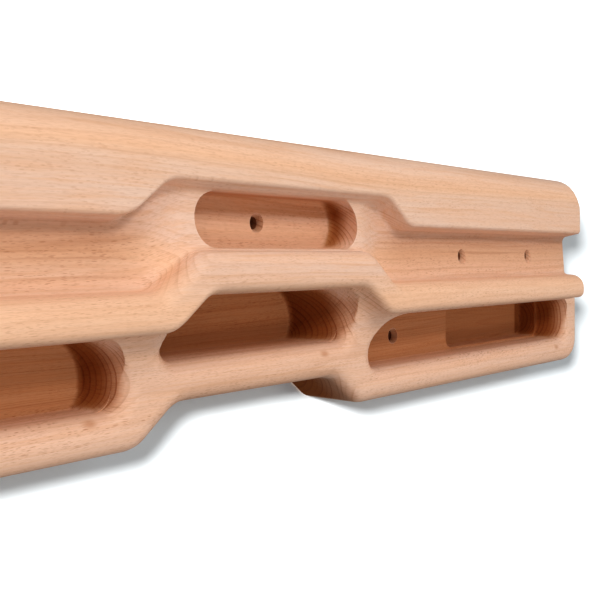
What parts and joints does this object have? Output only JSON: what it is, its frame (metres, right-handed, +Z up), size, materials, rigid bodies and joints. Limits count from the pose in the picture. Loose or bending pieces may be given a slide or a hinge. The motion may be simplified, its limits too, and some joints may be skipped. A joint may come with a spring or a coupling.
{
  "type": "hangboard",
  "caption": "Milled wooden hangboard for finger training: sloping top, a stepped groove and rail with a raised middle, undercut pockets, countersunk screw holes.",
  "frame": {"origin": "on the flat back face, in the middle of the board's length, 79.5 mm above its bottom edge and 52.5 mm below its top", "axes": "+X along the board's length, +Y out of the back face into the wall, +Z up; the holds face -Y"},
  "size_m": [0.701, 0.06, 0.132],
  "materials": {
    "beech": "fine sanded, bare satin beech with visible growth rings and ray flecks"
  },
  "bodies": {
    "root": {"board": "beech"}
  },
  "joints": []
}
